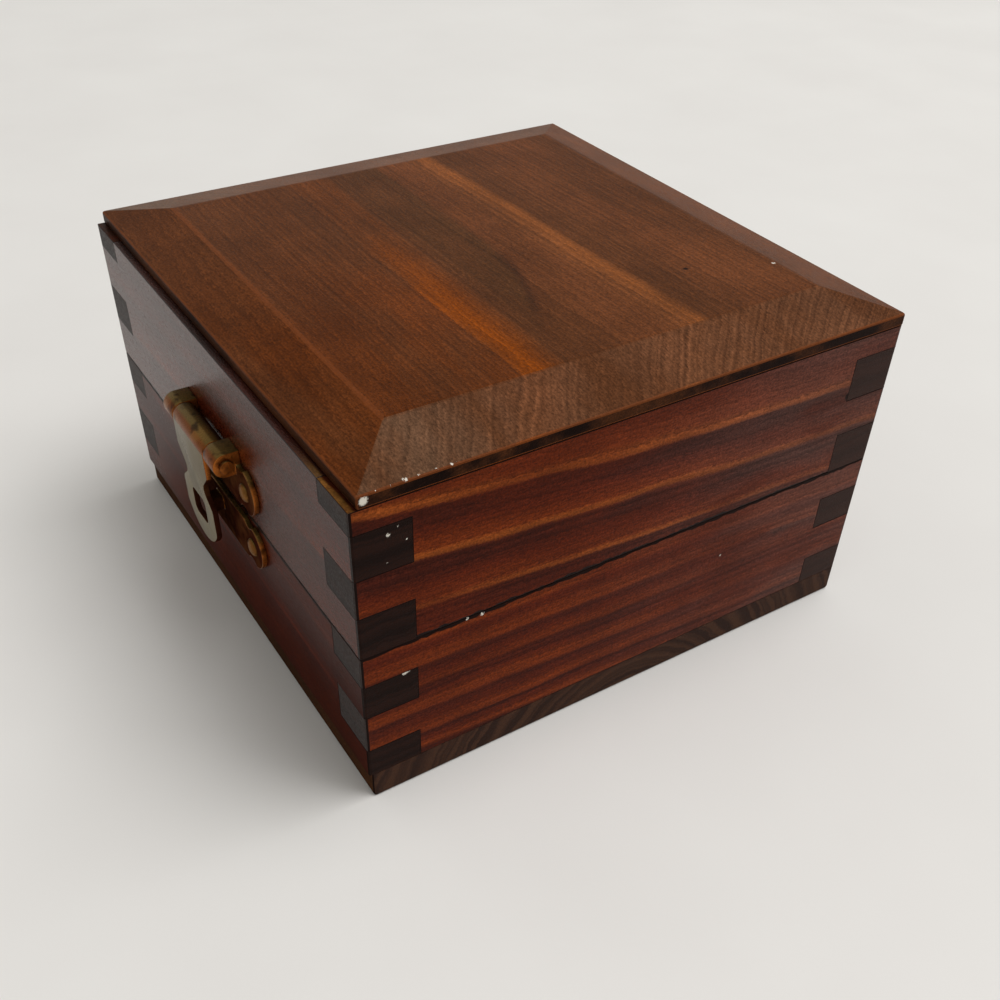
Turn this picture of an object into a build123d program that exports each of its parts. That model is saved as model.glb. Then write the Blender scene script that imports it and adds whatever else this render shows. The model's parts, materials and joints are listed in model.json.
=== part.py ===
from build123d import *
import os

# Wooden trinket box: finger-jointed base and lid, bevelled top panel, brass hasp, two back hinges.
# Millimetres. The origin is the middle of the underside, +Z is up, the hasp is on the -Y side.

# Box frames
box_width = 100.0
box_depth = 99.0
board_thickness = 9.0
bottom_thickness = 5.3
base_frame_height = 24.9
lid_frame_height = 25.5
corner_radius = 0.5
edge_ease = 0.25
foot_ease = 0.4

# Heights of the finger joint lines, as shares of their own frame, from its bottom up
base_joint_shares = (0.225, 0.514, 0.767)
lid_joint_shares = (0.294, 0.555, 0.851)

# Bottom panel: its front edge stands back from the front boards
bottom_setback = 0.6

# Top panel: a straight edge, then a flat bevel up to the raised field
panel_setback = 1.3
panel_edge = 2.05
bevel_rise = 2.55
side_bevel_width = 9.6
end_bevel_width = 10.8

# Brass hasp at the front
latch_width = 34.0
latch_sheet = 0.9
latch_ease = 0.25
latch_plate_height = 8.4
latch_plate_rise = 6.2
catch_plate_height = 8.0
catch_plate_drop = 4.6
scallop_radius = 2.0
scallop_bite = 0.8
latch_brad_reach = 13.4
hasp_axis_rise = 10.2
hasp_knuckle_radius = 2.1
hasp_pin_radius = 0.8
housing_length = 4.2
tongue_knuckle_length = 13.0
tongue_sheet = 0.9
tongue_neck_drop = 4.6
tongue_waist_drop = 8.2
tongue_waist_width = 6.4
tongue_shoulder_drop = 11.0
tongue_side_drop = 16.0
tongue_length = 20.0
tongue_width = 13.0
tongue_waist_radius = 1.4
tongue_corner_radius = 1.6
tongue_ease = 0.2
slot_drop = 13.6
slot_width = 5.4
slot_height = 4.6
slot_corner_radius = 1.0
lug_width = 3.4
lug_height = 2.8
lug_corner_radius = 0.8
lug_tip_ease = 0.4

# Brass butt hinges on the back
hinge_inset = 4.0
leaf_width = 18.0
leaf_height = 9.0
leaf_sheet = 0.8
leaf_corner_radius = 1.2
hinge_knuckle_radius = 1.6
hinge_pin_radius = 0.7
lid_knuckle_length = 6.4
hinge_brad_spread = 5.6
hinge_brad_rise = 5.7

# Brads and pins
latch_brad_head_radius = 1.6
hinge_brad_head_radius = 1.3
brad_head_height = 0.7
brad_head_taper = 45
brad_shank_width = 1.1
brad_length = 6.5
pin_head_height = 0.5
pin_head_lip = 0.4

# Clearances
running_clearance = 0.06
side_clearance = 0.2
knuckle_gap = 0.3
lug_clearance = 0.15
brad_clearance = 0.05
cut_overrun = 1.0

# Levels
seam = bottom_thickness + base_frame_height
frame_top = seam + lid_frame_height
bevel_foot = frame_top + panel_edge
box_height = bevel_foot + bevel_rise
panel_depth = box_depth - panel_setback
panel_middle = panel_setback / 2
bottom_depth = box_depth - bottom_setback
bottom_middle = bottom_setback / 2

# Faces that the boards and the brass are laid out on, each looking outwards with Z upwards
front_face = Plane.front.offset(box_depth / 2)
back_face = Plane.back.offset(box_depth / 2)
left_face = Plane.left.offset(box_width / 2)
right_face = Plane.right.offset(box_width / 2)

# Hasp axis: how far it stands off the front, and where the tongue and lug then end
hasp_axis_out = knuckle_gap + hasp_knuckle_radius
tongue_back_out = hasp_axis_out + hasp_knuckle_radius - tongue_sheet
lug_tip_out = tongue_back_out - lug_clearance
housing_middle = (tongue_knuckle_length + housing_length) / 2 + side_clearance
hasp_axis = Plane(
    origin=(0, -box_depth / 2 - hasp_axis_out, seam + hasp_axis_rise),
    x_dir=(0, 1, 0),
    z_dir=(1, 0, 0),
)

# Hinges: set in from the inside corners, their axis level with the seam behind the back face
hinge_reach = box_width / 2 - board_thickness - hinge_inset - leaf_width / 2
hinge_axis_out = hinge_knuckle_radius + knuckle_gap
knuckle_relief = hinge_knuckle_radius + knuckle_gap

# Brad places on the front and on the back, across and up
brad_hole_width = brad_shank_width + 2 * brad_clearance
latch_brad_places = [(side * latch_brad_reach, seam + latch_plate_rise) for side in (-1, 1)]
catch_brad_places = [(side * latch_brad_reach, seam - catch_plate_drop) for side in (-1, 1)]
hinge_brad_columns = [
    side * hinge_reach + spread * hinge_brad_spread for side in (-1, 1) for spread in (-1, 1)
]
hinge_lid_brad_places = [(column, seam + hinge_brad_rise) for column in hinge_brad_columns]
hinge_base_brad_places = [(column, seam - hinge_brad_rise) for column in hinge_brad_columns]

os.makedirs("parts", exist_ok=True)


def save(builder, label):
    builder.part.label = label
    export_step(builder.part, f"parts/{label}.step")


def joint_lines(frame_bottom, frame_height, joint_shares):
    return [frame_bottom + share * frame_height for share in (0, *joint_shares, 1)]


base_lines = joint_lines(bottom_thickness, base_frame_height, base_joint_shares)
lid_lines = joint_lines(seam, lid_frame_height, lid_joint_shares)

# Outside of each frame as sanded after gluing: rounded corners, eased edges at the seam and top
with BuildPart() as base_outside:
    with BuildSketch(Plane.XY.offset(bottom_thickness)):
        RectangleRounded(box_width, box_depth, corner_radius)
    extrude(amount=base_frame_height)
    chamfer(base_outside.faces().sort_by(Axis.Z)[-1].edges(), edge_ease)

with BuildPart() as lid_outside:
    with BuildSketch(Plane.XY.offset(seam)):
        RectangleRounded(box_width, box_depth, corner_radius)
    extrude(amount=lid_frame_height)
    chamfer(lid_outside.faces().sort_by(Axis.Z)[0].edges(), edge_ease)
    chamfer(lid_outside.faces().sort_by(Axis.Z)[-1].edges(), edge_ease)


def finger_board(label, face, length, lines, first_notch, outside, brad_places=(), sheet=0):
    """One board: every other course is notched at both ends for the fingers of its neighbours."""
    with BuildPart() as board:
        with BuildSketch(face):
            with Locations((0, (lines[0] + lines[-1]) / 2)):
                Rectangle(length, lines[-1] - lines[0])
            for low, high in list(zip(lines, lines[1:]))[first_notch::2]:
                for end in (-1, 1):
                    with Locations((end * (length - board_thickness) / 2, (low + high) / 2)):
                        Rectangle(board_thickness, high - low, mode=Mode.SUBTRACT)
        extrude(amount=-board_thickness)
        add(outside.part, mode=Mode.INTERSECT)
        if brad_places:
            with BuildSketch(face):
                with Locations(*brad_places):
                    Rectangle(brad_hole_width, brad_hole_width)
            extrude(amount=sheet - brad_length - brad_clearance, mode=Mode.SUBTRACT)
    save(board, label)


# Base frame: the side boards' fingers reach the seam, the front and back boards' reach the bottom panel
finger_board(
    "base_front_board", front_face, box_width, base_lines, 1, base_outside, catch_brad_places, latch_sheet
)
finger_board(
    "base_back_board", back_face, box_width, base_lines, 1, base_outside, hinge_base_brad_places, leaf_sheet
)
finger_board("base_left_board", left_face, box_depth, base_lines, 0, base_outside)
finger_board("base_right_board", right_face, box_depth, base_lines, 0, base_outside)

# Lid frame: the same courses again from the seam up, with a short one at the top
finger_board(
    "lid_front_board", front_face, box_width, lid_lines, 1, lid_outside, latch_brad_places, latch_sheet
)
finger_board(
    "lid_back_board", back_face, box_width, lid_lines, 1, lid_outside, hinge_lid_brad_places, leaf_sheet
)
finger_board("lid_left_board", left_face, box_depth, lid_lines, 0, lid_outside)
finger_board("lid_right_board", right_face, box_depth, lid_lines, 0, lid_outside)

# Bottom panel, glued under the base frame
with BuildPart() as bottom_panel:
    with BuildSketch():
        with Locations((0, bottom_middle)):
            RectangleRounded(box_width, bottom_depth, corner_radius)
    extrude(amount=bottom_thickness)
    chamfer(bottom_panel.faces().sort_by(Axis.Z)[0].edges(), foot_ease)
save(bottom_panel, "bottom_panel")

# Top panel: straight edge, then four flat bevels up to the raised field
with BuildPart() as lid_panel:
    with BuildSketch(Plane.XY.offset(frame_top)):
        with Locations((0, panel_middle)):
            Rectangle(box_width, panel_depth)
    extrude(amount=panel_edge)
    with BuildSketch(Plane.XY.offset(bevel_foot)):
        with Locations((0, panel_middle)):
            Rectangle(box_width, panel_depth)
    with BuildSketch(Plane.XY.offset(box_height)):
        with Locations((0, panel_middle)):
            Rectangle(box_width - 2 * end_bevel_width, panel_depth - 2 * side_bevel_width)
    loft(ruled=True)
    fillet(lid_panel.edges().filter_by(Axis.Z), corner_radius)
save(lid_panel, "lid_panel")


def scalloped_outline(middle, height):
    """Round-ended plate with a shallow scallop either side of its middle, above and below."""
    housing_end = housing_middle + housing_length / 2
    scallop_reach = (housing_end + latch_brad_reach) / 2
    scallop_rise = height / 2 + scallop_radius - scallop_bite
    with Locations((0, middle)):
        SlotOverall(latch_width, height)
    for across in (-scallop_reach, scallop_reach):
        with Locations((across, middle - scallop_rise), (across, middle + scallop_rise)):
            Circle(scallop_radius, mode=Mode.SUBTRACT)


# Upper hasp plate: scalloped sheet on the lid, cut away behind the tongue's knuckle, with two housings
with BuildPart() as latch_plate:
    with BuildSketch(front_face):
        scalloped_outline(seam + latch_plate_rise, latch_plate_height)
        with Locations((0, seam + hasp_axis_rise)):
            Rectangle(tongue_knuckle_length + 2 * side_clearance, 2 * hasp_axis_out, mode=Mode.SUBTRACT)
    extrude(amount=latch_sheet)
    chamfer(latch_plate.faces().sort_by(Axis.Y)[0].edges(), latch_ease)
    for side in (-1, 1):
        with BuildSketch(hasp_axis.offset(side * housing_middle)):
            Circle(hasp_knuckle_radius)
            with Locations((hasp_axis_out / 2, 0)):
                Rectangle(hasp_axis_out, 2 * hasp_knuckle_radius)
        extrude(amount=housing_length / 2, both=True)
    with BuildSketch(hasp_axis):
        Circle(hasp_pin_radius + running_clearance)
    extrude(amount=latch_width / 2, both=True, mode=Mode.SUBTRACT)
    with BuildSketch(front_face):
        with Locations(*latch_brad_places):
            Rectangle(brad_hole_width, brad_hole_width)
    extrude(amount=latch_sheet + cut_overrun, mode=Mode.SUBTRACT)
save(latch_plate, "latch_plate")

# Tongue: knuckle on the hasp axis, waisted sheet hanging from its outer side, slot for the lug
tongue_back = Plane(
    origin=(0, -box_depth / 2 - tongue_back_out, seam + hasp_axis_rise),
    x_dir=front_face.x_dir,
    z_dir=front_face.z_dir,
)
with BuildPart() as hasp_tongue:
    with BuildSketch(tongue_back):
        with BuildLine():
            foot = [(side * tongue_width / 2, -tongue_side_drop) for side in (-1, 1)]
            shoulder = [(side * tongue_width / 2, -tongue_shoulder_drop) for side in (-1, 1)]
            waist = [(side * tongue_waist_width / 2, -tongue_waist_drop) for side in (-1, 1)]
            neck = [(side * tongue_knuckle_length / 2, -tongue_neck_drop) for side in (-1, 1)]
            top = [(side * tongue_knuckle_length / 2, 0) for side in (-1, 1)]
            left_side = (foot[0], shoulder[0], waist[0], neck[0], top[0])
            right_side = (top[1], neck[1], waist[1], shoulder[1], foot[1])
            Polyline(*left_side, *right_side)
            ThreePointArc(foot[1], (0, -tongue_length), foot[0])
        make_face()
        foot_corners, shoulder_corners, waist_corners = vertices().group_by(Axis.Y)[:3]
        fillet(foot_corners, tongue_corner_radius)
        fillet(shoulder_corners + waist_corners, tongue_waist_radius)
        with Locations((0, -slot_drop)):
            RectangleRounded(slot_width, slot_height, slot_corner_radius, mode=Mode.SUBTRACT)
    extrude(amount=tongue_sheet)
    chamfer(hasp_tongue.faces().sort_by(Axis.Y)[0].edges(), tongue_ease)
    with BuildSketch(hasp_axis):
        Circle(hasp_knuckle_radius)
    extrude(amount=tongue_knuckle_length / 2, both=True)
    with BuildSketch(hasp_axis):
        Circle(hasp_pin_radius + running_clearance)
    extrude(amount=tongue_knuckle_length, both=True, mode=Mode.SUBTRACT)
save(hasp_tongue, "hasp_tongue")

# Lower hasp plate on the base, with the lug that the slot drops over
with BuildPart() as catch_plate:
    with BuildSketch(front_face):
        scalloped_outline(seam - catch_plate_drop, catch_plate_height)
    extrude(amount=latch_sheet)
    chamfer(catch_plate.faces().sort_by(Axis.Y)[0].edges(), latch_ease)
    with BuildSketch(front_face):
        with Locations((0, seam + hasp_axis_rise - slot_drop)):
            RectangleRounded(lug_width, lug_height, lug_corner_radius)
    extrude(amount=lug_tip_out)
    chamfer(catch_plate.faces().sort_by(Axis.Y)[0].edges(), lug_tip_ease)
    with BuildSketch(front_face):
        with Locations(*catch_brad_places):
            Rectangle(brad_hole_width, brad_hole_width)
    extrude(amount=latch_sheet + cut_overrun, mode=Mode.SUBTRACT)
save(catch_plate, "catch_plate")


def hinge_pin(label, axis, radius, span):
    """A pin along its axis, upset to a flat head at both ends."""
    with BuildPart() as pin:
        with BuildSketch(axis):
            Circle(radius)
        extrude(amount=span / 2 + side_clearance, both=True)
        for side in (-1, 1):
            with BuildSketch(axis.offset(side * (span / 2 + side_clearance))):
                Circle(radius + pin_head_lip)
            extrude(amount=side * pin_head_height)
    save(pin, label)


hinge_pin("latch_pin", hasp_axis, hasp_pin_radius, 2 * housing_middle + housing_length)


def brads(label, face, places, sheet, head_radius):
    """Brads: a square shank down into the board and a sloped round head on the sheet."""
    with BuildPart() as group:
        with BuildSketch(face.offset(sheet - brad_length)):
            with Locations(*places):
                Rectangle(brad_shank_width, brad_shank_width)
        extrude(amount=brad_length)
        with BuildSketch(face.offset(sheet)):
            with Locations(*places):
                Circle(head_radius)
        extrude(amount=brad_head_height, taper=brad_head_taper)
    save(group, label)


brads("latch_plate_brads", front_face, latch_brad_places, latch_sheet, latch_brad_head_radius)
brads("catch_plate_brads", front_face, catch_brad_places, latch_sheet, latch_brad_head_radius)
brads("hinge_lid_brads", back_face, hinge_lid_brad_places, leaf_sheet, hinge_brad_head_radius)
brads("hinge_base_brads", back_face, hinge_base_brad_places, leaf_sheet, hinge_brad_head_radius)


def hinge_leaf(label, across, upward, knuckle_spans):
    """A leaf on the back face, above the seam or below it, with its knuckles on the hinge axis."""
    face = Plane(origin=(across, box_depth / 2, seam), x_dir=back_face.x_dir, z_dir=back_face.z_dir)
    axis = Plane(
        origin=(across, box_depth / 2 + hinge_axis_out, seam), x_dir=hasp_axis.x_dir, z_dir=hasp_axis.z_dir
    )
    with BuildPart() as leaf:
        with BuildSketch(face):
            with Locations((0, upward * (leaf_height + knuckle_relief) / 2)):
                Rectangle(leaf_width, leaf_height - knuckle_relief)
            far_corners = vertices().sort_by(Axis.Y, reverse=upward > 0)[:2]
            fillet(far_corners, leaf_corner_radius)
            for start, end in knuckle_spans:
                with Locations((-(start + end) / 2, upward * knuckle_relief / 2)):
                    Rectangle(end - start, knuckle_relief)
            for spread in (-hinge_brad_spread, hinge_brad_spread):
                with Locations((spread, upward * hinge_brad_rise)):
                    Rectangle(brad_hole_width, brad_hole_width, mode=Mode.SUBTRACT)
        extrude(amount=leaf_sheet)
        for start, end in knuckle_spans:
            with BuildSketch(axis.offset(start)):
                Circle(hinge_knuckle_radius)
            extrude(amount=end - start)
        with BuildSketch(axis):
            Circle(hinge_pin_radius + running_clearance)
        extrude(amount=leaf_width, both=True, mode=Mode.SUBTRACT)
    save(leaf, label)
    return axis


# Two hinges: the lid leaf has the middle knuckle, the base leaf the two outer ones
lid_knuckle_end = lid_knuckle_length / 2
base_knuckle_start = lid_knuckle_end + side_clearance
for name, side in (("left", -1), ("right", 1)):
    across = side * hinge_reach
    hinge_leaf(f"{name}_hinge_lid_leaf", across, 1, [(-lid_knuckle_end, lid_knuckle_end)])
    outer_spans = [(-leaf_width / 2, -base_knuckle_start), (base_knuckle_start, leaf_width / 2)]
    axis = hinge_leaf(f"{name}_hinge_base_leaf", across, -1, outer_spans)
    hinge_pin(f"{name}_hinge_pin", axis, hinge_pin_radius, leaf_width)
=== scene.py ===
import json
import math
from types import SimpleNamespace

import bmesh
import bpy
from mathutils import Euler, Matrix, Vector, noise


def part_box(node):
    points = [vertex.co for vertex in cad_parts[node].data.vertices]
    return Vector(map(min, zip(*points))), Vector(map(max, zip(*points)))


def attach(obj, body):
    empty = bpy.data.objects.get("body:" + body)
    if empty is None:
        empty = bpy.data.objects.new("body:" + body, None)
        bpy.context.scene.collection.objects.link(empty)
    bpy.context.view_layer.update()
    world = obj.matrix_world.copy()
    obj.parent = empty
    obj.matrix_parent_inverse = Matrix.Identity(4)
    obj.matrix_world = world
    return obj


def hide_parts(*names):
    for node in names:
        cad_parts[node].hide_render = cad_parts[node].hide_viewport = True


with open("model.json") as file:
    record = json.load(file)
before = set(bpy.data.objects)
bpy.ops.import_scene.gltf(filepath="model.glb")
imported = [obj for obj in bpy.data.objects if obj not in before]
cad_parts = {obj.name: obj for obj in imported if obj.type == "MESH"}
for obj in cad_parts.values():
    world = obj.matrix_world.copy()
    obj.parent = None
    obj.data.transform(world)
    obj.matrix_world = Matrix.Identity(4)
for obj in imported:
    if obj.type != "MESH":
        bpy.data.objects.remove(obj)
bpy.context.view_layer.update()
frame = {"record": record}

# Wooden trinket box: stained finger-jointed boards, a bevelled top panel and antiqued brass.
# Lengths are in millimetres until they reach Blender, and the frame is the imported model's own.
MM = 0.001

# Finger joints, as shares of each frame's height from its bottom up
board_thickness = 9.0
base_joint_shares = (0.225, 0.514, 0.767)
lid_joint_shares = (0.294, 0.555, 0.851)

# How far the edges are rounded by sanding and wear
widest_round = 0.5
joint_round = 0.1
corner_round = 0.45
seam_round = 0.28
panel_foot_round = 0.28
panel_field_round = 0.4
round_segments = 2

# Chips along the seam: fine nicks that ride on longer swells, with the seeds of both
seam_pieces = 120
chip_height = 0.38
chip_share = 0.4
nick_pitch = 0.9
nick_seed = 3.7
swell_pitch = 0.12
swell_share = 0.6
swell_seed = 7

# Top panel bevels, and how much of their worn edges shows
panel_edge = 2.05
side_bevel_width = 9.6
end_bevel_width = 10.8
# The front ridge's pale line is wear and a painted highlight
front_ridge_share = 0.35
panel_foot_wear = 0.4

# Brass hasp: plates, housings, tongue and lug
latch_width = 34.0
latch_sheet = 0.9
latch_plate_height = 8.4
latch_plate_rise = 6.2
catch_plate_height = 8.0
catch_plate_drop = 4.6
scallop_radius = 2.0
scallop_bite = 0.8
scallop_reach = 12.15
latch_brad_reach = 13.4
hasp_knuckle_radius = 2.1
hasp_pin_radius = 0.8
housing_middle = 8.8
housing_length = 4.2
plate_notch_width = 13.4
tongue_knuckle_length = 13.0
tongue_sheet = 0.9
tongue_neck_drop = 4.6
tongue_waist_drop = 8.2
tongue_waist_width = 6.4
tongue_shoulder_drop = 11.0
tongue_side_drop = 16.0
tongue_length = 20.0
tongue_width = 13.0
tongue_waist_radius = 1.4
tongue_corner_radius = 1.6
slot_drop = 13.6
slot_width = 5.4
slot_height = 4.6
slot_corner_radius = 1.0
lug_width = 3.4
lug_height = 2.8
lug_corner_radius = 0.8
lug_tip_out = 3.45

# Brass hinges
leaf_width = 18.0
leaf_height = 9.0
leaf_sheet = 0.8
leaf_corner_radius = 1.2
hinge_knuckle_radius = 1.6
hinge_pin_radius = 0.7
knuckle_relief = 1.9
lid_knuckle_end = 3.2
base_knuckle_start = 3.4
hinge_reach = 28.0
hinge_brad_spread = 5.6

# Pins and brads
pin_clearance = 0.06
pin_overhang = 0.2
pin_head_height = 0.5
pin_head_lip = 0.4
brad_shank_radius = 0.55
brad_length = 6.5
brad_head_height = 0.7
brad_head_sides = 24
brad_head_rings = 12
brad_seat_share = 0.06

# How the brass is cut and eased: lengths, and angles in degrees
cut_back = -1.0
cut_front = 2.0
brass_round = 0.12
brass_round_segments = 3
brass_sharp_angle = 50
brass_smooth_angle = 32
weld_distance = 0.1
arc_step = 6.0
arc_shortest_piece = 0.2

# How near two places count as one, how far a hip rises past the straight edge at the least, and how
# squarely a face looks one way to count as facing it
tolerance = 0.01
shortest_edge = 0.001
hip_margin = 0.1
sawn_facing = 0.75
front_facing = 0.99

# Wood figure. A range runs from where a pattern or a direction starts to show to where it shows in full.
long_grain_stretch = 0.06
short_grain_stretch = 0.25
ring_waver = 1.2
ring_jitter = 0.8
ring_line_scale = 1.3
patch_range = (0.42, 0.66)
patch_share = 0.65
strand_range = (0.28, 0.72)
dash_gain = 1.3
speckle_gain = 1.5
blotch_depth = 0.14
pore_range = (0.6, 0.75)
pore_share = 0.4
wear_range = (0.15, 0.42)
satin_swing = 0.14
mark_core_share = 0.6
mark_raggedness = 0.6

# End grain
end_ring_waver = 1.0
end_ring_pitch = 2.0
end_arc_range = (0.36, 0.64)
end_speckle_depth = 0.9
end_pore_range = (0.6, 0.72)
end_pore_share = 0.5
# Painted sheen on the ends: paler and greyer towards the back
end_sheen_range = (0.0, 50.0)
end_sheen_share = 0.22
end_roughness = 0.55
end_roughness_swing = 0.3

# Growth rings: how the bands fall along each board, and where the piths of the panels lie
lid_side_fall = 0.1
lid_side_fall_easing = 0.0003
lid_side_steepness = 1.35
lid_side_levelling = 0.02
base_side_fall = 0.04
lid_long_rise = 0.05
base_long_fall = 0.03
panel_pith_back = 100.0
panel_pith_depth = 350.0
panel_slant = -0.05
panel_slant_range = (-6.0, 8.0)
bottom_pith_depth = 15.0

# Top panel figure: a dark tongue with a creased upper edge, a streak that fades, and pale end bevels
figure_root = 4.0
figure_top = 2.0
figure_curve = 0.0082
figure_waver = 1.5
figure_edge_range = (-1.0, 1.0)
figure_foot_range = (-10.0, -5.0)
figure_share = 0.9
crease_range = (1.4, 0.0)
crease_start_range = (4.0, 12.0)
crease_end_range = (36.0, 26.0)
crease_share = 0.4
streak_fade_range = (18.0, -22.0)
streak_ring_range = (-9.0, -12.0)
streak_fade_share = 0.75
bevel_facing_range = (0.1, 0.2)
bevel_limit_range = (0.6, 0.4)
bevel_line_scale = 0.7
bevel_line_range = (0.3, 0.7)
bevel_ash_range = (-16.0, -40.0)
bevel_ash_share = 0.6
bevel_share = 0.9
rim_facing_range = (0.5, 0.2)

# Painted light on the boards: shadow and a highlight on the ledge, sheen towards the back, shade on the
# base's foot and along the bottom's front edge
ledge_facing_range = (0.5, 0.8)
ledge_depth = 1.0
ledge_share = 0.9
highlight_waver = 0.6
highlight_reach_range = (0.3, 0.7)
highlight_corner_range = (30.0, 44.0)
side_sheen_range = (-20.0, 50.0)
side_sheen_share = 0.42
foot_height_range = (27.0, 8.0)
foot_run_range = (-45.0, 10.0)
foot_shade_share = 0.4
bottom_front_range = (-0.5, -0.8)

# Brass finishes, with painted reflections on tops, ends and the tongue, and painted shade on faces turned
# back to the box
reflection_upward_range = (0.45, 0.8)
reflection_frontal_range = (0.75, 0.45)
brass_patch_range = (0.46, 0.66)
brass_patch_share = 0.4
end_reflection_range = (0.7, 0.9)
brass_grime_range = (0.5, 0.7)
back_shade_range = (0.1, 0.7)
reflection_drop = 2.6
reflection_stretch = 0.2
reflection_waver = 6.0
reflection_fade_drops = (13.0, 3.0)
reflection_fade_share = 0.6
dark_brass_tan_range = (0.4, 0.75)
dark_brass_tan_share = 0.6
dark_brass_grime_range = (0.45, 0.75)
dark_brass_grime_share = 0.7

# Chipped stain on the right face, as (y, z, radius), and on the top panel, as (place, radius)
lid_side_nicks = [(40.5, 45.3, 0.8)]
base_side_flecks = [(-29.5, 29.8, 0.35), (-32.0, 30.1, 0.3), (18.0, 21.1, 0.2)]
lid_end_flecks = [(-44.1, 50.3, 0.35), (-41.4, 48.6, 0.14), (-44.4, 45.8, 0.14), (-42.6, 51.2, 0.12)]
base_end_flecks = [(-42.6, 24.4, 0.5), (-42.0, 24.6, 0.45)]
panel_nicks = [((24.0, 25.0, 60.3), 0.5)]
panel_flecks = [
    ((49.8, -47.2, 56.9), 0.8), ((49.7, -45.6, 57.6), 0.16), ((49.7, -43.4, 57.65), 0.14),
    ((49.6, -41.2, 57.7), 0.4), ((49.6, -39.2, 57.7), 0.22), ((49.6, -36.6, 57.7), 0.24),
    ((49.6, -34.4, 57.7), 0.25), ((49.6, -33.6, 57.7), 0.15), ((29.6, 39.3, 60.3), 0.35),
]

# Camera, light and table
camera_place = (152.2, -94.0, 139.5)
camera_turn = (48.25, -1.53, 57.46)
camera_lens = 40.04
camera_sensor = 36.0
camera_shift = (-0.0064, 0.1048)
camera_near = 10.0
window_place = (580.0, 1000.0, 2500.0)
window_aim = (0.0, 0.0, 30.0)
window_size = 1750.0
window_power = 50.0
room_light = 0.52
room_seen = 0.72
table_reach = 3000.0


def corners(node):
    """A node's lowest and highest corners in millimetres."""
    low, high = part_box(node)
    return Vector(low) / MM, Vector(high) / MM


# Places read from the frame
joint_places = {
    joint["name"]: Vector(joint["pos_m"]) / MM for joint in frame["record"]["behaviour"]["joints"]
}
lid_low, lid_high = corners("lid_right_board")
base_low, base_high = corners("base_right_board")
panel_low, panel_high = corners("lid_panel")
seam_level = lid_low.z
front_face = base_low.y
back_face = base_high.y
right_face = base_high.x
hasp_level = joint_places["hasp_swing"].z
hasp_out = front_face - joint_places["hasp_swing"].y
hinge_out = joint_places["lid_hinge"].y - back_face


def tone(red, green, blue):
    """Colour as the eye sees it, 0 to 255 a channel, turned into light."""
    shares = [channel / 255 for channel in (red, green, blue)]
    return tuple(s / 12.92 if s <= 0.04045 else ((s + 0.055) / 1.055) ** 2.4 for s in shares) + (1.0,)


# Stained wood
amber = tone(142, 71, 26)
orange = tone(113, 46, 14)
rust = tone(102, 40, 12)
russet = tone(84, 29, 10)
plum = tone(62, 22, 12)
chestnut = tone(102, 57, 30)
walnut = tone(87, 49, 25)
umber = tone(76, 46, 24)
toffee = tone(112, 64, 33)
honey = tone(132, 75, 36)
marmalade = tone(126, 60, 8)
mahogany = tone(86, 42, 14)
cedar = tone(98, 49, 18)
driftwood = tone(112, 72, 48)
bark = tone(93, 59, 39)
ash = tone(100, 78, 60)
loam = tone(48, 30, 23)
peat = tone(72, 47, 34)

# Grime, wear and chips, and the tones of painted sheen, shade and highlight
soot_and_shade = tone(25, 12, 8)
charcoal = tone(40, 21, 15)
chalk = tone(226, 220, 208)
sheen_veil = tone(98, 76, 70)
ledge_highlight = tone(120, 86, 38)
ridge = tone(130, 70, 36)

# Brass. Olive, flame, moss and ginger give painted reflections on tops and ends, pewter, parchment and drab
# the tongue's painted reflection, oxblood and tan the plates' painted dark; the last tone is grime and
# painted shade
copper = tone(116, 64, 28)
olive = tone(108, 86, 46)
flame = tone(170, 98, 42)
straw = tone(150, 108, 56)
tawny = tone(112, 72, 34)
bronze = tone(138, 94, 48)
moss = tone(112, 90, 50)
ginger = tone(150, 96, 48)
wheat = tone(160, 118, 64)
pewter = tone(112, 100, 74)
parchment = tone(138, 126, 96)
drab = tone(92, 76, 46)
oxblood = tone(58, 26, 16)
tan = tone(98, 62, 34)
grime_and_shade = tone(38, 20, 12)

# Table and room
table_shade = tone(226, 223, 220)
table_light = tone(236, 234, 231)
room_white = tone(236, 235, 230)


def feed(tree, socket, value):
    """Links a node's input to another node's output, or sets its own value."""
    if isinstance(value, bpy.types.NodeSocket):
        tree.links.new(value, socket)
    else:
        socket.default_value = value


def add_node(tree, kind, values, **settings):
    """A new node in a tree, with its settings made and its inputs fed."""
    node = tree.nodes.new(kind)
    for key, value in settings.items():
        setattr(node, key, value)
    for key, value in values.items():
        feed(tree, node.inputs[key], value)
    return node


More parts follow.
